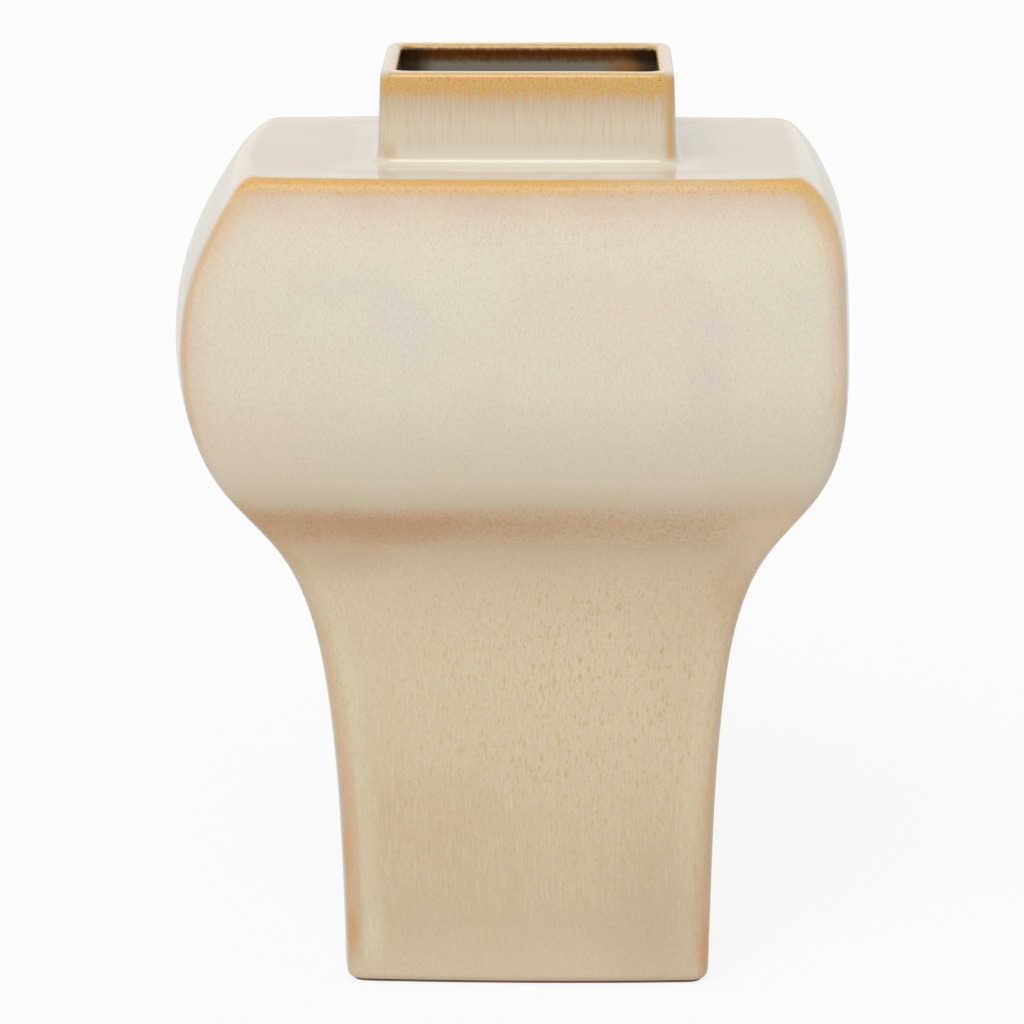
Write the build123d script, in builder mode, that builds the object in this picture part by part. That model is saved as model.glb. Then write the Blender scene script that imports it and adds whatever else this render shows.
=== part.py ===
"""Slab-built pillow vase: rolled clay slabs luted into a bulged box, a flat shoulder and a short neck.

The foot stands on Z = 0 with its centre at the origin, the wide front faces -Y and +X is to the right.
"""

import os
from math import asin, atan2, cos, degrees, radians, sin

from build123d import *

# Clay slabs
slab = 7.0                 # rolled thickness of the base, the four walls and the shoulder
neck_slab = 6.0            # rolled thickness of the four neck walls

# Heights of the body, each measured from the one before
stem_height = 110.0        # from the foot to the end of the slim stem
flare_rise = 53.5          # from the stem to the steepest part of the turn-out
lip_rise = 27.0            # from there to the lower lip of the belly
belly_rise = 64.0          # from the lip to the fullest part of the belly
shoulder_rise = 44.5       # from the fullest part to the top of the shoulder

# Half-widths of the front view, from the centre of the foot: the left of the belly is the fuller one
foot_half_width = 66.5
stem_left = 72.5
flare_left = 89.0
lip_left = 110.5
belly_left = 121.6
shoulder_left = 100.0
lean_left = 35.0           # degrees that the wall leans in where it meets the shoulder
stem_right = 71.0
flare_right = 85.6
lip_right = 105.0
belly_right = 111.5
shoulder_right = 95.5
lean_right = 55.0

# Half-depths of the side view, the same to the front and to the back
foot_half_depth = 39.0
stem_depth = 41.5
flare_depth = 49.5
lip_depth = 61.5
belly_depth = 68.0
shoulder_depth = 61.0
lean_depth = 14.0

# Bows in plan: from the middle of the vase to the upright axis, on the far side, that each wall bends round
wide_bow = 1200.0          # front and back
left_bow = 200.0
right_bow = 460.0          # the flatter of the two sides

foot_flare = 1.5           # degrees that every wall leans out where it leaves the foot
shoulder_bend = 8.0        # outside radius on which the sides bend over into the shoulder
corner_radius = 5.0        # rubbed-down edges round the front and back slabs
foot_bevel = 3.0           # wiped edge under the base

# Neck, measured outside at its foot
neck_width = 102.5
neck_depth = 66.0
neck_height = 31.5
neck_draw_in = 1.0         # how far each neck wall leans in over its height
neck_corner_radius = 6.0
mouth_corner_radius = 4.0
rim_radius = 2.5

# Coil of soft clay pressed into the corner between neck and shoulder
coil_reach = 3.0           # how far the coil spreads over the shoulder and up the neck
coil_edge = 0.5            # thickness of the coil where it runs out

flare_height = stem_height + flare_rise
lip_height = flare_height + lip_rise
belly_height = lip_height + belly_rise
shoulder_height = belly_height + shoulder_rise
hollow_steps = 12          # points by which the hollow follows the outside, one slab further in
overreach = 1.3            # how far the cutting forms run past the clay, as a share of its size
stations = (0, stem_height, flare_height, lip_height, belly_height, shoulder_height)

left_wall = (foot_half_width, stem_left, flare_left, lip_left, belly_left, shoulder_left)
right_wall = (foot_half_width, stem_right, flare_right, lip_right, belly_right, shoulder_right)
deep_wall = (foot_half_depth, stem_depth, flare_depth, lip_depth, belly_depth, shoulder_depth)

neck_taper = degrees(atan2(neck_draw_in, neck_height))
mouth_width = neck_width - 2 * neck_slab
mouth_depth = neck_depth - 2 * neck_slab


def wall_line(half_sizes, lean, side, inset):
    """One edge of an outline of the body, from the foot up to the shoulder."""
    leave = (side * sin(radians(foot_flare)), cos(radians(foot_flare)))
    arrive = (-side * sin(radians(lean)), cos(radians(lean)))
    points = [(side * half, height) for half, height in zip(half_sizes, stations)]
    outside = Spline(*points, tangents=(leave, arrive), mode=Mode.PRIVATE)
    steps = [step / hollow_steps for step in range(hollow_steps + 1)]
    inwards = [(outside % step).rotate(Axis.Z, side * 90) for step in steps]
    drawn_in = [outside @ step + inset * inward for step, inward in zip(steps, inwards)]
    return Spline(*drawn_in, tangents=(leave, arrive)) if inset else add(outside)


def half_outline(wall, lean, side, inset):
    """The outline between one wall line and the middle of the vase, run a little past the middle."""
    with BuildSketch() as shape:
        with BuildLine() as edges:
            wall_line(wall, lean, side, inset)
            line = edges.edges()[0]
            middle = -side * slab
            Polyline(line @ 0, (middle, (line @ 0).Y), (middle, (line @ 1).Y), line @ 1)
        make_face()
    return shape.sketch


def bowed_half(plane, wall, lean, side, bow, reach, inset):
    """One half of a view, swung both ways about the axis that its wall bends round."""
    axis = Axis(-side * bow * plane.x_dir, (0, 0, 1))
    swing = degrees(asin(overreach * reach / (bow - slab)))
    with BuildPart() as form:
        with BuildSketch(plane):
            add(half_outline(wall, lean, side, inset))
        revolve(axis=axis, revolution_arc=2 * swing)
    return form.part.rotate(axis, -swing)


def width_form(inset):
    """The front view drawn through the whole depth, with bowed sides."""
    reach = max(deep_wall)
    with BuildPart() as form:
        add(bowed_half(Plane.XZ, left_wall, lean_left, -1, left_bow, reach, inset))
        add(bowed_half(Plane.XZ, right_wall, lean_right, 1, right_bow, reach, inset))
    return form.part


def depth_form(inset):
    """The side view drawn across the whole width, with a bowed front and back."""
    reach = max(left_wall + right_wall)
    with BuildPart() as form:
        add(bowed_half(Plane.YZ, deep_wall, lean_depth, -1, wide_bow, reach, inset))
        mirror(about=Plane.XZ)
    return form.part


# Forms that the slabs are cut from: the outside of the body, and the hollow seen from either side
width_outside = width_form(inset=0)
depth_outside = depth_form(inset=0)
width_hollow = width_form(inset=slab)
depth_hollow = depth_form(inset=slab)

with BuildPart() as body:
    add(width_outside)
    add(depth_outside, mode=Mode.INTERSECT)
    top_edges = body.faces().sort_by(Axis.Z)[-1].edges().sort_by(Axis.X)
    fillet([top_edges[0], top_edges[-1]], radius=shoulder_bend)
    foot_edges = body.faces().sort_by(Axis.Z)[0].edges()
    across = body.faces().sort_by(Axis.Y)
    slab_edges = across[0].edges() + across[-1].edges() - foot_edges
    fillet(slab_edges, radius=corner_radius)

top_of_base = Plane.XY.offset(slab)
top_of_walls = Plane.XY.offset(shoulder_height - slab)
top_of_shoulder = Plane.XY.offset(shoulder_height)

# Base, cut to the full footprint so that the walls stand on it
with BuildPart() as base_slab:
    add(body.part)
    split(bisect_by=top_of_base, keep=Keep.BOTTOM)
    chamfer(base_slab.faces().sort_by(Axis.Z)[0].edges(), length=foot_bevel)

# The height that the four walls share, between the base and the shoulder
with BuildPart() as walls:
    add(body.part)
    split(bisect_by=top_of_base, keep=Keep.TOP)
    split(bisect_by=top_of_walls, keep=Keep.BOTTOM)

# Front and back walls, which run the full width and cover the ends of the side walls
with BuildPart() as wide_walls:
    add(walls.part)
    add(depth_hollow, mode=Mode.SUBTRACT)

with BuildPart() as front_panel:
    add(wide_walls.solids().sort_by(Axis.Y)[0])

with BuildPart() as back_panel:
    mirror(front_panel.part, about=Plane.XZ)

# Side walls, butted between the front and the back
with BuildPart() as side_walls:
    add(walls.part)
    add(depth_hollow, mode=Mode.INTERSECT)
    add(width_hollow, mode=Mode.SUBTRACT)

with BuildPart() as left_side_panel:
    add(side_walls.solids().sort_by(Axis.X)[0])

with BuildPart() as right_side_panel:
    add(side_walls.solids().sort_by(Axis.X)[-1])

# Shoulder, laid on the four walls and bent down at its ends, with the mouth cut out of it
with BuildPart() as shoulder_plate:
    add(body.part)
    split(bisect_by=top_of_walls, keep=Keep.TOP)
    with BuildSketch(top_of_shoulder):
        RectangleRounded(mouth_width, mouth_depth, mouth_corner_radius)
    extrude(amount=-slab, mode=Mode.SUBTRACT)

# Neck: a ring of four slabs leaning in a little, rubbed round at the corners and at the rim
with BuildPart() as neck:
    with BuildSketch(top_of_shoulder):
        Rectangle(neck_width, neck_depth)
    extrude(amount=neck_height, taper=neck_taper)
    neck_corners = neck.edges().filter_by(lambda edge: edge.bounding_box().size.Z > rim_radius)
    fillet(neck_corners, radius=neck_corner_radius)
    with BuildSketch(top_of_shoulder):
        RectangleRounded(mouth_width, mouth_depth, mouth_corner_radius)
    extrude(amount=neck_height, taper=neck_taper, mode=Mode.SUBTRACT)
    fillet(neck.faces().sort_by(Axis.Z)[-1].edges(), radius=rim_radius)

with BuildPart() as neck_seams:
    with BuildSketch(top_of_shoulder):
        Rectangle(overreach * neck_width, mouth_depth)
    extrude(amount=neck_height, taper=neck_taper)

with BuildPart() as wide_neck_walls:
    add(neck.part)
    add(neck_seams.part, mode=Mode.SUBTRACT)

with BuildPart() as neck_front_wall:
    add(wide_neck_walls.solids().sort_by(Axis.Y)[0])

with BuildPart() as neck_back_wall:
    mirror(neck_front_wall.part, about=Plane.XZ)

with BuildPart() as neck_side_walls:
    add(neck.part)
    add(neck_seams.part, mode=Mode.INTERSECT)

with BuildPart() as neck_left_wall:
    add(neck_side_walls.solids().sort_by(Axis.X)[0])

with BuildPart() as neck_right_wall:
    mirror(neck_left_wall.part, about=Plane.YZ)

# Coil, with a hollowed face that runs out over the shoulder and up the neck
with BuildPart() as neck_coil:
    with BuildLine(top_of_shoulder) as coil_path:
        FilletPolyline(
            (neck_width / 2, -neck_depth / 2),
            (-neck_width / 2, -neck_depth / 2),
            (-neck_width / 2, neck_depth / 2),
            (neck_width / 2, neck_depth / 2),
            radius=neck_corner_radius,
            close=True,
        )
    path_start = coil_path.line % 0
    away_from_neck = Vector(0, 0, 1).cross(path_start)
    with BuildSketch(Plane(origin=coil_path.line @ 0, x_dir=away_from_neck, z_dir=path_start)):
        with BuildLine():
            wall_lean = neck_draw_in * coil_reach / neck_height
            up_the_wall = Line((0, 0), (-wall_lean, coil_reach))
            upper_edge = Line(up_the_wall @ 1, (coil_edge - wall_lean, coil_reach))
            lower_edge = Line((coil_reach, coil_edge), (coil_reach, 0))
            Line(lower_edge @ 1, up_the_wall @ 0)
            RadiusArc(upper_edge @ 1, lower_edge @ 0, -coil_reach)
        make_face()
    sweep(path=coil_path.wires()[0])

pieces = {
    "base_slab": base_slab,
    "front_panel": front_panel,
    "back_panel": back_panel,
    "left_side_panel": left_side_panel,
    "right_side_panel": right_side_panel,
    "shoulder_plate": shoulder_plate,
    "neck_front_wall": neck_front_wall,
    "neck_back_wall": neck_back_wall,
    "neck_left_wall": neck_left_wall,
    "neck_right_wall": neck_right_wall,
    "neck_coil": neck_coil,
}
os.makedirs("parts", exist_ok=True)
for name, piece in pieces.items():
    piece.part.label = name
    export_step(piece.part, f"parts/{name}.step")
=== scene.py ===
"""Pillow vase in a speckled cream glaze: one glazed skin over the luted slabs, and the bare foot under it.

Sizes are in metres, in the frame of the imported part: the foot stands on Z = 0 and the wide front faces -Y.
"""

from collections import namedtuple
from math import atan, cos, pi, radians, sin, sqrt

import bmesh
import bpy
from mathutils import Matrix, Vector, noise


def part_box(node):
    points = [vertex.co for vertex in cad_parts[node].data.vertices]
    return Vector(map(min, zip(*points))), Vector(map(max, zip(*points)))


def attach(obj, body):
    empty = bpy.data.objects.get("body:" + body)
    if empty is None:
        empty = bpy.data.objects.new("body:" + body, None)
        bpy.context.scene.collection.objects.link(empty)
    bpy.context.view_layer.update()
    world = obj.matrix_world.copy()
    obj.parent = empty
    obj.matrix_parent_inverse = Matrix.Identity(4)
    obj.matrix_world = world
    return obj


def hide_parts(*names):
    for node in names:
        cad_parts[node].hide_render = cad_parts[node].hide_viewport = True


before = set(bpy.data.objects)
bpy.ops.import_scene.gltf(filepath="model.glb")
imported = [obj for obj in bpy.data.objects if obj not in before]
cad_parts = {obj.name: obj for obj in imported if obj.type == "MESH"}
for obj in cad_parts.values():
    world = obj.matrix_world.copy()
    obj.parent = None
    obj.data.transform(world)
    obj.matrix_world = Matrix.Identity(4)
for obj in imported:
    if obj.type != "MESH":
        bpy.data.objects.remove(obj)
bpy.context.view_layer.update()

MM = 0.001
GLAZED_NODES = (
    "front_panel", "back_panel", "left_side_panel", "right_side_panel", "shoulder_plate",
    "neck_front_wall", "neck_back_wall", "neck_left_wall", "neck_right_wall", "neck_coil",
)

# Sizes that the part was built with, repeated here because a mesh doesn't hold them
SLAB = 7 * MM
NECK_SLAB = 6 * MM
CORNER_RADIUS = 5 * MM
NECK_CORNER_RADIUS = 6 * MM
MOUTH_CORNER_RADIUS = 4 * MM
RIM_RADIUS = 2.5 * MM
NECK_DRAW_IN = 1 * MM
WIDE_BOW = 1200 * MM           # from the middle to the axis that the front and the back bend round
LEFT_BOW = 200 * MM
RIGHT_BOW = 460 * MM

# Finish that only the skin has
FOOT_RADIUS = 4.5 * MM         # rounding of the glazed edge above the foot
GLAZE_LINE = 0.9 * MM          # height at which the glaze was wiped off the foot
HAND_WAVE = 0.35 * MM          # how far the hand-smoothed slabs dip between high places
WAVES_PER_METRE = 22
CORNER_STEPS = 4
WIDE_CUTS = 15
DEEP_CUTS = 9
SKIN_LEVELS = 2
FOOT_LEVELS = 1
OUTSIDE = 1.0                  # a distance well clear of the vase


# Measures taken from the frame

def first_touch(nodes, start, direction):
    """The point of these slabs that a line from outside meets first."""
    places = []
    for name in nodes:
        touched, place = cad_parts[name].ray_cast(start, direction)[:2]
        if touched:
            places.append(place)
    return min(places, key=lambda place: (place - Vector(start)).length)


# An outline: how far it reaches, how fast each wall falls back from the middle, its corners and its height
Section = namedtuple("Section", "left right depth left_bow right_bow wide_bow corner height")
shoulder_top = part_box("shoulder_plate")[1].z
base_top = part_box("base_slab")[1].z
rim_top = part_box("neck_front_wall")[1].z
neck_half_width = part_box("neck_right_wall")[1].x
neck_half_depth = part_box("neck_back_wall")[1].y
coil_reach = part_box("neck_coil")[1].x - neck_half_width


def body_section(height):
    """The outline of the slabs at one height, seen from above."""
    side_slabs = ("left_side_panel", "right_side_panel", "shoulder_plate", "base_slab")
    wide_slabs = ("front_panel", "shoulder_plate", "base_slab")
    left = -first_touch(side_slabs, (-OUTSIDE, 0, height), (1, 0, 0)).x
    right = first_touch(side_slabs, (OUTSIDE, 0, height), (-1, 0, 0)).x
    depth = -first_touch(wide_slabs, (0, -OUTSIDE, height), (0, 1, 0)).y
    return Section(
        left, right, depth,
        left_bow=0.5 / (LEFT_BOW + left),
        right_bow=0.5 / (RIGHT_BOW + right),
        wide_bow=0.5 / (WIDE_BOW + depth),
        corner=CORNER_RADIUS,
        height=height,
    )


def drawn_in(section, inset, height=None):
    """The same outline, moved in by one distance all round."""
    return section._replace(
        left=section.left - inset,
        right=section.right - inset,
        depth=section.depth - inset,
        height=section.height if height is None else height,
    )


def between(one, other, share):
    """The outline part of the way from one outline to another."""
    return Section(*(a + share * (b - a) for a, b in zip(one, other)))


def neck_section(out, height, corner=NECK_CORNER_RADIUS):
    """An outline of the neck, a distance out from the foot of its outer face."""
    half_width, half_depth = neck_half_width + out, neck_half_depth + out
    return Section(half_width, half_width, half_depth, 0, 0, 0, corner, height)


def rounded_foot(section, levels):
    """Outlines up the rounded edge between the foot and the walls."""
    for level in levels:
        below = max(0, FOOT_RADIUS - level)
        yield drawn_in(section, FOOT_RADIUS - sqrt(FOOT_RADIUS ** 2 - below ** 2), level)


# The outlines of the skin, from the glaze line up the outside, over the rim and down to the inner floor

def heights(*millimetres):
    return [value * MM for value in millimetres]


above_foot = body_section(FOOT_RADIUS + 0.5 * MM)
foot_rings = list(rounded_foot(above_foot, [GLAZE_LINE] + heights(1.6, 2.6, 3.8)))
body_rings = [body_section(height) for height in heights(
    6, 22, 42, 62, 82, 100, 116, 129, 140, 150, 158, 165, 171, 177, 182, 187, 193, 200, 209, 219, 230, 241,
    252, 262, 271, 279, 285, 290, 292.2, 294, 296.2, 297.6, 298.5)]
plate_edge = drawn_in(body_section(shoulder_top - 0.12 * MM), 0.3 * MM, shoulder_top)
coil_foot = neck_section(coil_reach, shoulder_top, NECK_CORNER_RADIUS + coil_reach)
plate_rings = [
    plate_edge,
    drawn_in(plate_edge, 3 * MM),
    between(plate_edge, coil_foot, 0.5),
    drawn_in(coil_foot, -2 * MM),
]
coil_rings = [
    neck_section(coil_reach * (1 - sin(turn)), shoulder_top + coil_reach * (1 - cos(turn)),
                 NECK_CORNER_RADIUS + coil_reach * (1 - sin(turn)))
    for turn in (step * pi / 8 for step in range(5))
]
neck_height = rim_top - shoulder_top
rim_start = rim_top - RIM_RADIUS


def lean(height):
    """How far a neck wall has drawn in at this height."""
    return NECK_DRAW_IN * (height - shoulder_top) / neck_height


neck_rings = [neck_section(-lean(height), height) for height in (
    shoulder_top + 9 * MM, shoulder_top + 16 * MM, shoulder_top + 22 * MM, rim_start - 1 * MM)]
rim_turns = [step * pi / 8 for step in range(5)]
rim_rings = [
    neck_section(-lean(rim_top) - RIM_RADIUS * (1 - cos(turn)), rim_start + RIM_RADIUS * sin(turn),
                 NECK_CORNER_RADIUS - RIM_RADIUS * (1 - cos(turn)))
    for turn in rim_turns
]
mouth = neck_section(-NECK_SLAB, rim_start, MOUTH_CORNER_RADIUS)
inner_rim_rings = [
    neck_section(-NECK_SLAB - lean(rim_top) + RIM_RADIUS * (1 - cos(turn)),
                 rim_start + RIM_RADIUS * sin(turn),
                 MOUTH_CORNER_RADIUS + RIM_RADIUS * (1 - cos(turn)))
    for turn in reversed(rim_turns)
]
throat_rings = [drawn_in(mouth, lean(height), height) for height in (
    rim_start - 2 * MM, shoulder_top + 18 * MM, shoulder_top + 8 * MM, shoulder_top,
    shoulder_top - SLAB + 1 * MM)]
ceiling = shoulder_top - SLAB
under_shoulder = drawn_in(body_section(ceiling - 4 * MM), SLAB, ceiling)
hollow_rings = [drawn_in(mouth, -1 * MM, ceiling), drawn_in(under_shoulder, 4 * MM)]
hollow_rings += [drawn_in(body_section(height), SLAB) for height in heights(
    287, 270, 250, 225, 200, 186, 174, 162, 148, 128, 95, 60, 30, 14)]
inner_floor = drawn_in(above_foot, SLAB, base_top)
hollow_rings += [drawn_in(inner_floor, 0.6 * MM, base_top + 2 * MM), drawn_in(inner_floor, 3 * MM)]

skin_rings = (foot_rings + body_rings + plate_rings + coil_rings + neck_rings + rim_rings + inner_rim_rings
              + throat_rings + hollow_rings)


# Meshes

def new_outline(mesh, corner_steps, wide_cuts, deep_cuts):
    """A rounded square face, whose points remember where they belong on any outline."""
    share = 0.25               # of the half-side, taken by the rounding
    bmesh.ops.create_grid(mesh, x_segments=1, y_segments=1, size=1)
    bmesh.ops.bevel(mesh, geom=mesh.verts[:], offset=share, affect="VERTICES", segments=corner_steps,
                    profile=0.5, material=-1)
    long_edges = [edge for edge in mesh.edges if edge.calc_length() > 1]
    wide = [edge for edge in long_edges if abs(edge.verts[0].co.x - edge.verts[1].co.x) > 1]
    deep = [edge for edge in long_edges if edge not in wide]
    bmesh.ops.subdivide_edges(mesh, edges=wide, cuts=wide_cuts)
    bmesh.ops.subdivide_edges(mesh, edges=deep, cuts=deep_cuts)
    along = mesh.verts.layers.float_vector.new("along")
    for vert in mesh.verts:
        straight = Vector([max(-1, min(1, value / (1 - share))) for value in vert.co.xy])
        turned = Vector(vert.co.xy) - (1 - share) * straight
        turn = Vector((abs(turned.x), abs(turned.y))).angle(Vector((1, 0))) / (pi / 2)
        vert[along] = (straight.x, straight.y, turn)


def corner_of(section, side):
    """The middle of one corner's rounding, and the turns at which the two walls leave it."""
    reach = section.left if side < 0 else section.right
    bow = section.left_bow if side < 0 else section.right_bow
    x, y = reach - section.corner, section.depth - section.corner
    first, last = 0.0, pi / 2
    for settle in range(4):
        on_side = y + section.corner * sin(first)
        on_wide = x + section.corner * cos(last)
        first = atan(2 * bow * on_side)
        last = pi / 2 - atan(2 * section.wide_bow * on_wide)
        x = reach - bow * on_side ** 2 - section.corner * cos(first)
        y = section.depth - section.wide_bow * on_wide ** 2 - section.corner * sin(last)
    return Vector((x, y)), first, last


def place_on(section, straight, turn):
    """Where a point of the ring lies on an outline, and how far past the corner that is."""
    side = -1 if straight.x < 0 else 1
    middle, first, last = corner_of(section, side)
    if abs(straight.x) == 1 and abs(straight.y) == 1:
        angle = first + turn * (last - first)
        place = middle + section.corner * Vector((cos(angle), sin(angle)))
        past_corner = section.corner * (angle - (first + last) / 2)
        return side * place.x, straight.y * place.y, past_corner
    half_arc = section.corner * (last - first) / 2
    if abs(straight.x) == 1:
        end = middle.y + section.corner * sin(first)
        reach = section.left if side < 0 else section.right
        bow = section.left_bow if side < 0 else section.right_bow
        y = straight.y * end
        return side * (reach - bow * y * y), y, abs(y) - end - half_arc
    left_end, right_end = (
        corner.x + section.corner * cos(end)
        for corner, start, end in (corner_of(section, -1), corner_of(section, 1)))
    x = (right_end - left_end) / 2 + straight.x * (right_end + left_end) / 2
    end = left_end if x < 0 else right_end
    return x, straight.y * (section.depth - section.wide_bow * x * x), end - abs(x) + half_arc


def lay_ring(mesh, verts, section):
    """Moves a ring of points onto an outline, and keeps how far past the corner each one lies."""
    along = mesh.verts.layers.float_vector["along"]
    corner_layer = mesh.verts.layers.float["corner"]
    for vert in verts:
        x, y, past_corner = place_on(section, vert[along].xy, vert[along].z)
        vert.co = (x, y, section.height)
        vert[corner_layer] = past_corner


def next_ring(mesh, edges):
    """Draws the wall on by one ring, and gives the new ring's points and edges."""
    drawn = bmesh.ops.extrude_edge_only(mesh, edges=edges)["geom"]
    verts = [item for item in drawn if isinstance(item, bmesh.types.BMVert)]
    fresh = set(verts)
    ring = [item for item in drawn if isinstance(item, bmesh.types.BMEdge) and fresh.issuperset(item.verts)]
    return verts, ring


def step_between(one, other):
    """The way from one outline to the next, measured up the front."""
    return Vector((other.depth - one.depth, other.height - one.height)).length


def loft(mesh, rings):
    """Draws the wall through every outline in turn, and closes it at both ends."""
    climb_layer = mesh.verts.layers.float.new("climb")
    mesh.verts.layers.float.new("corner")
    verts, edges = mesh.verts[:], [edge for edge in mesh.edges if edge.is_boundary]
    climb, last = 0.0, rings[0]
    for index, section in enumerate(rings):
        if index:
            verts, edges = next_ring(mesh, edges)
        lay_ring(mesh, verts, section)
        climb += step_between(last, section)
        last = section
        for vert in verts:
            vert[climb_layer] = climb
    bmesh.ops.contextual_create(mesh, geom=edges)


def dip_by_hand(mesh):
    """Lets the slabs dip a little, as hand-smoothed clay does, and never stand proud."""
    bmesh.ops.recalc_face_normals(mesh, faces=mesh.faces)
    mesh.normal_update()
    shifts = {}
    for vert in mesh.verts:
        wave = 0.5 + 0.5 * noise.noise(vert.co * WAVES_PER_METRE)
        shifts[vert] = -HAND_WAVE * max(0, min(1, wave)) * vert.normal
    for vert, shift in shifts.items():
        if vert.co.z > FOOT_RADIUS:
            vert.co += shift


def finished(name, mesh, material, levels):
    """Makes the mesh an object that is smooth all over and belongs to the vase."""
    bmesh.ops.recalc_face_normals(mesh, faces=mesh.faces)
    for face in mesh.faces:
        face.smooth = True
    data = bpy.data.meshes.new(name)
    mesh.to_mesh(data)
    mesh.free()
    data.materials.append(material)
    piece = bpy.data.objects.new(name, data)
    bpy.context.scene.collection.objects.link(piece)
    smoothing = piece.modifiers.new("smoothing", "SUBSURF")
    smoothing.levels = smoothing.render_levels = levels
    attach(piece, "root")
    return piece


# Places along the skin that the glaze is painted by

def climb_at(ring):
    """How far up the skin, over the rim and down again, this ring lies."""
    passed = skin_rings[:skin_rings.index(ring) + 1]
    return sum(step_between(a, b) for a, b in zip(passed, passed[1:]))


edge_climb = climb_at(body_rings[-2])
plate_climb = climb_at(plate_rings[0])
coil_climb = climb_at(coil_rings[0])
neck_climb = climb_at(coil_rings[-1])
rim_climb = climb_at(rim_rings[0])
mouth_climb = climb_at(inner_rim_rings[0])


# Materials

def linear(red, green, blue):
    """A colour as it is seen, 0 to 255, made linear."""
    parts = [value / 255 for value in (red, green, blue)]
    return [p / 12.92 if p <= 0.04045 else ((p + 0.055) / 1.055) ** 2.4 for p in parts] + [1.0]


class Tone:
    """One socket of a material. Sums on it add Math nodes."""

    def __init__(self, tree, socket):
        self.tree = tree
        self.socket = socket

    def node(self, kind, settings=None, inputs=None, output=0):
        """Adds a node of any kind: settings first, then the values or links of its sockets."""
        made = self.tree.nodes.new(kind)
        for key, value in (settings or {}).items():
            setattr(made, key, value)
        for key, value in (inputs or {}).items():
            if isinstance(value, Tone):
                self.tree.links.new(value.socket, made.inputs[key])
            else:
                made.inputs[key].default_value = value
        return Tone(self.tree, made.outputs[output])

    def math(self, operation, *others):
        inputs = dict(enumerate((self,) + others))
        return self.node("ShaderNodeMath", {"operation": operation}, inputs)

    def __add__(self, other):
        return self.math("ADD", other)

    __radd__ = __add__

    def __mul__(self, other):
        return self.math("MULTIPLY", other)

    __rmul__ = __mul__

    def __sub__(self, other):
        return self.math("SUBTRACT", other)

    def __rsub__(self, other):
        return self * -1 + other

    def __truediv__(self, other):
        return self.math("DIVIDE", other)

    def __abs__(self):
        return self.math("ABSOLUTE")

    def step(self, low, high):
        """A soft step from 0 at low up to 1 at high."""
        return self.node("ShaderNodeMapRange", {"interpolation_type": "SMOOTHSTEP"}, {
            "Value": self, "From Min": low, "From Max": high})

    def band(self, start, full, fall, end):
        """1 between full and fall, running out softly to 0 at start and at end."""
        return self.step(start, full) * (1 - self.step(fall, end))

    def under(self, colour, share):
        """This colour with another glazed over it."""
        return self.node("ShaderNodeMix", {"data_type": "RGBA"}, {0: share, 6: self, 7: colour}, output=2)

    def stretched(self, scale):
        """This place, drawn out along each axis."""
        return self.node("ShaderNodeVectorMath", {"operation": "MULTIPLY"}, {0: self, 1: scale})

    def axis(self, name):
        return self.node("ShaderNodeSeparateXYZ", None, {0: self}, output=name)

    def grain(self, scale, detail=2.0, roughness=0.5):
        """Soft noise from 0 to 1, with this many grains to the metre."""
        return self.node("ShaderNodeTexNoise", None, {
            "Vector": self, "Scale": scale, "Detail": detail, "Roughness": roughness})

    def ramp(self, stops):
        """A colour that follows this value from 0 to 1 through the stops."""
        made = self.node("ShaderNodeValToRGB", None, {"Fac": self})
        elements = made.socket.node.color_ramp.elements
        for place, colour in stops[2:]:
            elements.new(place)
        for element, (place, colour) in zip(elements, stops):
            element.position = place
            element.color = colour
        return made


def new_material(name):
    """A material with one shader, and the place on the piece to paint it by."""
    material = bpy.data.materials.new(name)
    material.use_nodes = True
    tree = material.node_tree
    shader = tree.nodes["Principled BSDF"]
    place = Tone(tree, tree.nodes.new("ShaderNodeTexCoord").outputs["Object"])
    return material, shader, place


def connect(shader, socket, tone):
    tone.tree.links.new(tone.socket, shader.inputs[socket])


# Colours of the glaze as they look in even light, and the heights in millimetres where the body takes each
BODY_COLOURS = [
    (0, (207, 192, 164)),
    (26, (200, 182, 149)),
    (72, (207, 190, 156)),
    (117, (213, 199, 166)),
    (155, (211, 195, 162)),
    (168, (207, 186, 155)),
    (178, (203, 174, 140)),
    (186, (207, 192, 163)),
    (196, (215, 205, 179)),
    (226, (221, 214, 195)),
    (250, (224, 218, 201)),
    (277, (225, 219, 200)),
    (287, (222, 212, 190)),
]
OCHRE = linear(215, 171, 97)
BURNT_OCHRE = linear(176, 118, 48)
ORANGE = linear(205, 158, 110)
PEACH = linear(222, 198, 170)
BLUSH = linear(212, 188, 164)
SALMON = linear(204, 164, 130)
TERRACOTTA = linear(188, 138, 90)
ROSE = linear(224, 206, 192)
LILAC = linear(212, 205, 196)
TAN = linear(172, 146, 112)
DASH = linear(190, 152, 94)
PALE = linear(220, 213, 190)
# Painted sheen: white mixed in where the glaze stands for the reflection of the white room
SHEEN_WHITE = linear(238, 237, 230)
POOLED = linear(221, 216, 197)
SHOULDER = linear(209, 198, 182)
NECK = linear(214, 205, 181)
NECK_STREAK = linear(194, 158, 122)
RIM = linear(219, 197, 168)
INNER_BROWN = linear(104, 52, 8)
INNER_GREY = linear(154, 146, 126)
# Painted shade for the inner corners at the ends of the neck
THROAT_SHADE = linear(46, 28, 14)

Surface = namedtuple(
    "Surface", "place across height climb corner front edge clouds drift runs specks mottle grit")


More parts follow.
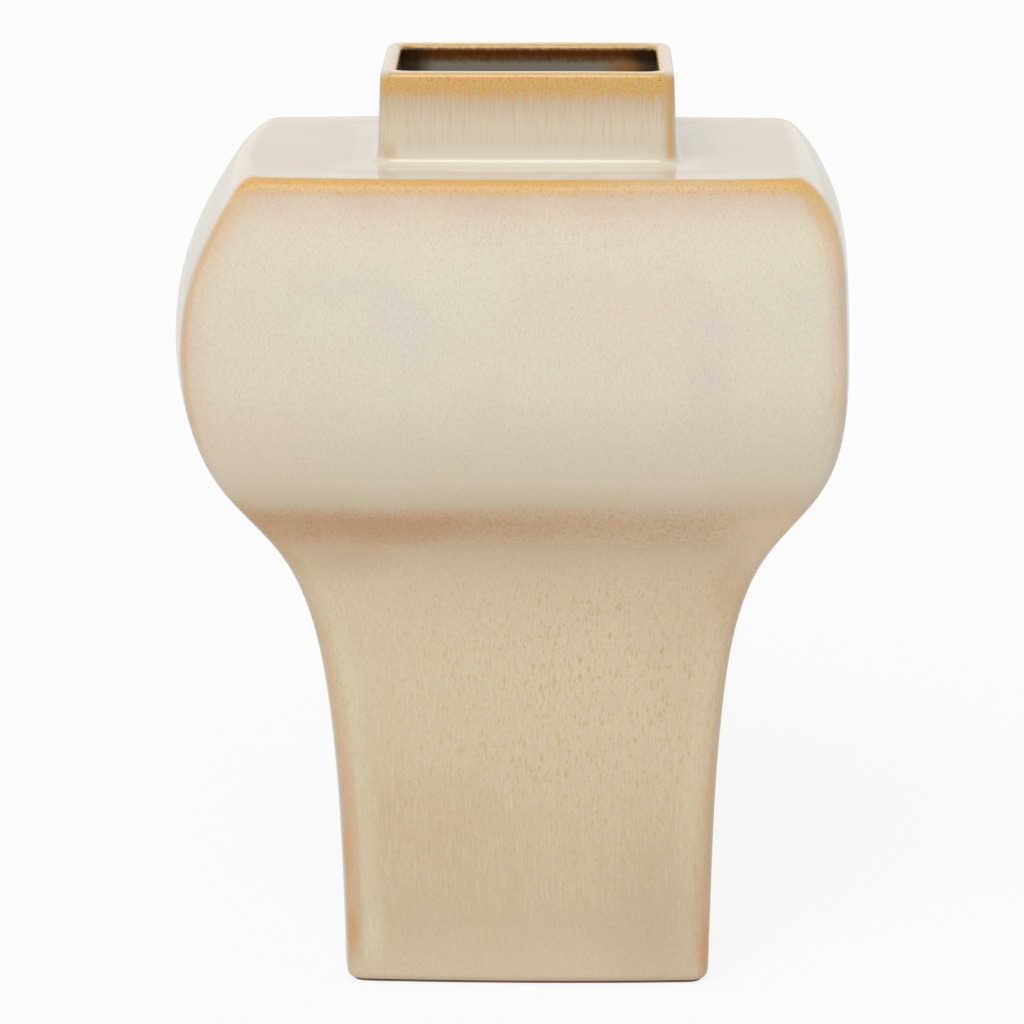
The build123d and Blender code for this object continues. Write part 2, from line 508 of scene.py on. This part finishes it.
def read_surface(place):
    """What the glaze is painted by: the place on the vase, and the grain of the glaze there."""
    climb = place.node("ShaderNodeAttribute", {"attribute_name": "climb"}, output="Fac")
    corner = place.node("ShaderNodeAttribute", {"attribute_name": "corner"}, output="Fac")
    grit = place.grain(1500, 2, 0.7)
    up_the_front = climb - edge_climb + (grit - 0.5) * 0.005
    return Surface(
        place=place,
        across=place.axis("X"),
        height=place.axis("Z"),
        climb=climb,
        corner=corner,
        front=corner.step(-0.001, 0.003),
        edge=up_the_front.band(-0.006, -0.0005, 0.0026, 0.0044) * corner.step(-0.004, 0.001),
        clouds=place.grain(13),
        drift=place.stretched((1, 1, 0.6)).grain(34),
        runs=place.stretched((1, 1, 0.06)).grain(1300, 2, 0.6),
        specks=place.stretched((1, 1, 0.25)).grain(3200, 1),
        mottle=place.grain(460, 2, 0.6),
        grit=grit,
    )


def spot(at, x, z, width, height):
    """A soft ragged patch, with its middle and half-sizes in millimetres as seen from the front."""
    beside = (at.across - x * MM) / (width * MM)
    above = (at.height - z * MM) / (height * MM)
    distance = (beside * beside + above * above).math("SQRT")
    return 1 - (distance + (at.mottle - 0.5) * 0.6).step(0.1, 1.0)


def body_glaze(at):
    """Cream on the belly, a brown band under its lip, beige with ochre dashes on the stem."""
    wander = (at.clouds - 0.5) * 0.004 + (at.specks - 0.5) * 0.005
    rise = (at.height + wander) / rim_top
    colour = rise.ramp([(z * MM / rim_top, linear(*seen)) for z, seen in BODY_COLOURS])
    belly = at.height.step(0.18, 0.2)
    colour = colour.under(ROSE, at.clouds.step(0.48, 0.68) * (belly * 0.35 + 0.1))
    colour = colour.under(LILAC, at.drift.step(0.48, 0.68) * belly * 0.35)
    ragged = at.height + (at.drift - 0.5) * 0.008 + (at.grit - 0.5) * 0.008
    under_lip = ragged.band(0.163, 0.175, 0.1795, 0.187)
    freckles = at.place.grain(850, 3, 0.7)
    warm = spot(at, -45, 178, 90, 16) * 0.35 + at.drift.step(0.4, 0.65) * 0.25
    colour = colour.under(TERRACOTTA, under_lip * warm)
    colour = colour.under(TERRACOTTA, under_lip * freckles.step(0.44, 0.66) * 0.6)
    colour = colour.under(PEACH, spot(at, 88, 174, 34, 20) * 0.85)
    colour = colour.under(SALMON, spot(at, -62, 164, 26, 12) * 0.4)
    colour = colour.under(SALMON, spot(at, -28, 62, 36, 34) * 0.28)
    colour = colour.under(SALMON, spot(at, -50, 75, 14, 40) * 0.2)
    colour = colour.under(TAN, spot(at, 50, 24, 36, 60) * 0.22 + spot(at, 58, 126, 34, 50) * 0.15)
    blush = at.height.band(0.283, 0.293, 0.298, 0.302) * at.front
    colour = colour.under(BLUSH, blush * (at.drift.step(0.3, 0.6) * 0.25 + 0.45))
    ochre_runs = at.runs.step(0.45, 0.75) * spot(at, 4, 286, 60, 16) * at.front
    colour = colour.under(OCHRE, ochre_runs * 0.3)
    return stem_dashes(colour, at)


def stem_dashes(colour, at):
    """Soft upright dashes that the glaze broke into as it ran down the stem, and pale runs between them."""
    stem = at.height.band(0.004, 0.05, 0.15, 0.17)
    colour = colour.under(PALE, at.runs.step(0.45, 0.75) * stem * 0.3)
    grain = at.place.stretched((1.2, 1, 0.36)).grain(900, 1)
    dashes = grain.step(0.48, 0.8) * 0.8 + grain.step(0.64, 0.78) * 0.2
    return colour.under(DASH, dashes * stem * (spot(at, 24, 116, 80, 90) * 0.4 + 0.28))


def thin_edges(colour, at):
    """Glaze that ran thin over the upright edges: ochre at the top, peach below, salmon on the stem; with a
    painted sheen on the side walls and a painted highlight just inside the stem's edges.
    """
    on_right = at.across.step(-0.002, 0.002)
    on_left = 1 - on_right
    ragged = at.corner + (at.grit - 0.5) * 0.0025
    left_line = (1 - abs(ragged + 0.0002).step(0.0004, 0.0036)) * on_left
    right_line = (1 - abs(ragged - 0.0008).step(0.0004, 0.004)) * on_right
    line = left_line + right_line * 0.7
    glow = ragged.band(-0.003, 0.0, 0.001, 0.012)
    belly = at.height.band(0.19, 0.23, 0.29, 0.302)
    top = at.height.band(0.258, 0.288, 0.298, 0.302)
    # Painted reflection: pale white on the side walls of the belly, standing in for the sheen of the white
    # room at grazing angles
    colour = colour.under(SHEEN_WHITE, belly * (1 - at.corner.step(-0.007, -0.003)) * 0.45)
    colour = colour.under(PEACH, glow * belly * (on_left * 0.25 + 0.3))
    colour = colour.under(ORANGE, line * belly * (at.drift.step(0.35, 0.6) * 0.25 + 0.3))
    colour = colour.under(OCHRE, glow * top * 0.25)
    colour = colour.under(OCHRE, line * top * 0.32)
    bend = at.height.band(0.28, 0.292, 0.298, 0.302) * on_right
    colour = colour.under(OCHRE, ragged.band(-0.007, -0.003, 0.002, 0.008) * bend * 0.58)
    flare = at.height.band(0.148, 0.165, 0.178, 0.19)
    colour = colour.under(ORANGE, ragged.band(-0.002, 0.001, 0.003, 0.007) * flare * on_left * 0.4)
    colour = colour.under(SALMON, spot(at, 71, 148, 12, 24) * 0.55)
    stem = at.height.band(0.004, 0.02, 0.13, 0.16)
    lower_stem = at.height.band(0.004, 0.012, 0.06, 0.11)
    band = ragged.band(-0.003, 0.0, 0.0012, 0.0048)
    # Painted highlight: a pale upright band just inside each stem edge, standing in for a soft glossy
    # reflection
    inside_sheen_band = ragged.band(0.0035, 0.006, 0.0085, 0.0135)
    colour = colour.under(PALE, inside_sheen_band * stem * (on_left * 0.18 + 0.12))
    colour = colour.under(SALMON, band * stem * (on_left * 0.35 + 0.2))
    colour = colour.under(SALMON, band * lower_stem * 0.45)
    patches = spot(at, -62.5, 21, 4, 13) + spot(at, -64, 48, 3.5, 18) * 0.5 + spot(at, 64, 12, 4, 17)
    colour = colour.under(OCHRE, patches * 0.6)
    colour = colour.under(BURNT_OCHRE, patches * at.grit.step(0.35, 0.65) * 0.5)
    return colour.under(PALE, spot(at, -54.5, 20, 6, 20) * 0.35)


def fine_specks(colour, at):
    """The fine grain of the outer glaze: short upright tan specks, and rosy ones between them."""
    colour = colour.under(TAN, at.specks.step(0.35, 0.85) * 0.32)
    return colour.under(ROSE, at.grit.step(0.35, 0.75) * 0.2)


def shoulder_glaze(colour, at):
    """The ochre front edge of the shoulder, its pale top with a painted sheen near the front, and the glaze
    pooled round the neck.
    """
    colour = colour.under(OCHRE, at.edge * (0.95 - at.across.band(0.01, 0.04, 0.06, 0.09) * 0.3))
    colour = colour.under(BURNT_OCHRE, at.edge * at.grit.step(0.48, 0.7) * 0.55)
    top = at.climb.step(plate_climb - 0.0005, plate_climb + 0.002)
    colour = colour.under(SHOULDER, top)
    # Painted reflection: white over the front of the shoulder's top, standing in for the white room seen at a
    # grazing angle
    front_sheen = at.climb.band(plate_climb, plate_climb + 0.002, plate_climb + 0.006, plate_climb + 0.014)
    towards_front = at.corner.step(-0.02, 0.03)
    colour = colour.under(SHEEN_WHITE, front_sheen * towards_front * 0.3)
    colour = colour.under(BLUSH, top * at.drift.step(0.42, 0.65) * 0.45)
    colour = colour.under(POOLED, at.climb.step(coil_climb - 0.004, coil_climb - 0.001) * 0.4)
    return colour.under(POOLED, at.climb.step(coil_climb - 0.009, coil_climb - 0.005) * towards_front * 0.8)


def neck_glaze(colour, at):
    """Streaked cream on the neck, under a rim where the glaze ran down to ochre."""
    wall = at.climb.step(neck_climb - 0.001, neck_climb + 0.006)
    colour = colour.under(NECK, wall)
    below_rim = at.climb - rim_climb
    run = below_rim + (at.runs - 0.5) * 0.008
    colour = colour.under(NECK_STREAK, run.band(-0.018, -0.006, 0.0, 0.003) * 0.55)
    colour = colour.under(NECK_STREAK, wall * at.runs.step(0.45, 0.75) * 0.25)
    ochre = run.band(-0.0085, -0.003, 0.0, 0.0005) + below_rim.band(-0.001, 0.0, 0.002, 0.0036) * at.front
    colour = colour.under(OCHRE, ochre * 0.9)
    colour = colour.under(BURNT_OCHRE, ochre * at.grit.step(0.45, 0.7) * 0.5)
    colour = colour.under(RIM, below_rim.step(0.0024, 0.004))
    edge = 1 - abs(at.corner - 0.0006 + (at.grit - 0.5) * 0.004).step(0.0002, 0.0034)
    upright = at.climb.band(neck_climb - 0.003, neck_climb, rim_climb, rim_climb + 0.002)
    right = at.across.step(0.0, 0.02)
    colour = colour.under(OCHRE, edge * upright * (right * 0.7 + 0.1))
    return colour.under(ORANGE, upright * spot(at, -47, 303, 4, 5) * 0.5)


def inside_glaze(colour, at):
    """Brown and ochre under the rim, grey-green further in, and painted shade in the corners."""
    run = at.climb - mouth_climb + (at.mottle - 0.5) * 0.002
    inside = run.step(0.002, 0.004)
    colour = colour.under(OCHRE, run.step(0.0005, 0.002))
    colour = colour.under(INNER_BROWN, inside)
    colour = colour.under(INNER_GREY, run.step(0.0048, 0.009))
    # Painted shade: near-black in the inner corners at the ends of the neck, where little light reaches
    shaded_ends = 1 - abs(at.corner).step(0.003, 0.012)
    colour = colour.under(THROAT_SHADE, inside * shaded_ends * 0.85)
    return colour.under(BURNT_OCHRE, inside * spot(at, 34, 322, 9, 4) * 0.8)


def cream_glaze():
    """Reactive cream glaze: thin and ochre on the edges, brown under the belly, pooled in the hollows."""
    material, shader, place = new_material("cream_glaze")
    at = read_surface(place)
    colour = body_glaze(at)
    for add_layer in (thin_edges, fine_specks, shoulder_glaze, neck_glaze, inside_glaze):
        colour = add_layer(colour, at)
    connect(shader, "Base Color", colour)
    connect(shader, "Roughness", at.mottle * 0.08 + at.edge * 0.3 + 0.1)
    relief = at.mottle * 0.6 + at.specks * 0.2
    bump = relief.node("ShaderNodeBump", None, {"Strength": 0.1, "Distance": 0.0003, "Height": relief})
    connect(shader, "Normal", bump)
    return material


def bare_clay():
    """Unglazed stoneware, fired brown and a little gritty."""
    material, shader, place = new_material("bare_clay")
    grit = place.grain(900, 3, 0.6)
    blush = place.grain(40)
    colour = blush.step(0.3, 0.7).ramp([(0, linear(158, 112, 72)), (1, linear(134, 90, 54))])
    colour = colour.under(linear(96, 62, 38), grit.step(0.58, 0.75) * 0.6)
    connect(shader, "Base Color", colour)
    connect(shader, "Roughness", grit * 0.2 + 0.7)
    bump = grit.node("ShaderNodeBump", None, {"Strength": 0.3, "Distance": 0.0003, "Height": grit})
    connect(shader, "Normal", bump)
    return material


skin_mesh = bmesh.new()
new_outline(skin_mesh, CORNER_STEPS, WIDE_CUTS, DEEP_CUTS)
loft(skin_mesh, skin_rings)
dip_by_hand(skin_mesh)
skin = finished("glazed_skin", skin_mesh, cream_glaze(), SKIN_LEVELS)
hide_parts(*GLAZED_NODES)

foot_mesh = bmesh.new()
new_outline(foot_mesh, CORNER_STEPS, WIDE_CUTS, DEEP_CUTS)
loft(foot_mesh, [
    drawn_in(foot_rings[0], 2.2 * MM, 0.0),
    drawn_in(foot_rings[0], 1.2 * MM, 0.0),
    drawn_in(foot_rings[0], 0.35 * MM, 0.25 * MM),
    drawn_in(foot_rings[0], 0.1 * MM, GLAZE_LINE),
    drawn_in(foot_rings[0], 0.6 * MM, GLAZE_LINE + 0.4 * MM),
])
foot = finished("bare_foot", foot_mesh, bare_clay(), FOOT_LEVELS)
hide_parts("base_slab")


# Floor, light and camera
FLOOR_REACH = 12               # from the middle to each edge
FLOOR_GLOW = 0.85              # share of pure white that the camera sees on the floor
ROOM_FILL = 0.6                # light from the white room
LAMP_STRENGTH = 1.5
LAMP_SPREAD = radians(40)
LAMP_TURN = (radians(38), 0, radians(-18))
CAMERA_PITCH = radians(16.33)
CAMERA_TURN = radians(0.75)
CAMERA_DISTANCE = 1.4298
CAMERA_TARGET = Vector((-0.00553, 0, 0.16622))
CAMERA_LENS = 140.625          # millimetres, on a sensor 36 mm wide


def add_floor():
    """A wide pale floor that looks white from above and keeps the shadow of the vase."""
    mesh = bmesh.new()
    bmesh.ops.create_grid(mesh, x_segments=1, y_segments=1, size=FLOOR_REACH)
    data = bpy.data.meshes.new("floor")
    mesh.to_mesh(data)
    mesh.free()
    floor = bpy.data.objects.new("floor", data)
    bpy.context.scene.collection.objects.link(floor)
    material, shader, place = new_material("pale_floor")
    shader.inputs["Base Color"].default_value = linear(235, 234, 232)
    shader.inputs["Roughness"].default_value = 0.9
    shader.inputs["Specular IOR Level"].default_value = 0.0
    seen = place.node("ShaderNodeLightPath", output="Is Camera Ray")
    glow = place.node("ShaderNodeEmission", None, {"Color": (1, 1, 1, 1), "Strength": 1.0})
    seen_share = seen * FLOOR_GLOW
    mixed = place.node("ShaderNodeMixShader", None, {
        0: seen_share, 1: Tone(place.tree, shader.outputs[0]), 2: glow})
    output = place.tree.nodes["Material Output"]
    place.tree.links.new(mixed.socket, output.inputs["Surface"])
    data.materials.append(material)


def add_light():
    """A white room that fills every side, and one broad soft lamp above and in front."""
    world = bpy.data.worlds.new("white_room")
    bpy.context.scene.world = world
    world.use_nodes = True
    tree = world.node_tree
    background = tree.nodes["Background"]
    background.inputs["Color"].default_value = (1, 1, 1, 1)
    path = tree.nodes.new("ShaderNodeLightPath")
    camera_ray = Tone(tree, path.outputs["Is Camera Ray"])
    glossy_ray = Tone(tree, path.outputs["Is Glossy Ray"])
    clear_ray = Tone(tree, path.outputs["Is Transmission Ray"])
    seen = camera_ray.math("MAXIMUM", glossy_ray).math("MAXIMUM", clear_ray)
    strength = seen * (1 - ROOM_FILL) + ROOM_FILL
    tree.links.new(strength.socket, background.inputs["Strength"])
    lamp = bpy.data.lights.new("soft_lamp", "SUN")
    lamp.energy = LAMP_STRENGTH
    lamp.angle = LAMP_SPREAD
    light = bpy.data.objects.new("soft_lamp", lamp)
    light.rotation_euler = LAMP_TURN
    bpy.context.scene.collection.objects.link(light)


def add_camera():
    """The photograph's viewpoint: a long lens, looking down on the shoulder from just right of the middle."""
    level, up = cos(CAMERA_PITCH), sin(CAMERA_PITCH)
    direction = Vector((sin(CAMERA_TURN) * level, -cos(CAMERA_TURN) * level, up))
    lens = bpy.data.cameras.new("camera")
    lens.sensor_width = 36
    lens.lens = CAMERA_LENS
    lens.clip_end = 100
    camera = bpy.data.objects.new("camera", lens)
    camera.location = CAMERA_TARGET + CAMERA_DISTANCE * direction
    camera.rotation_euler = (-direction).to_track_quat("-Z", "Y").to_euler()
    bpy.context.scene.collection.objects.link(camera)
    bpy.context.scene.camera = camera


add_floor()
add_light()
add_camera()
bpy.context.scene.view_settings.view_transform = "Standard"
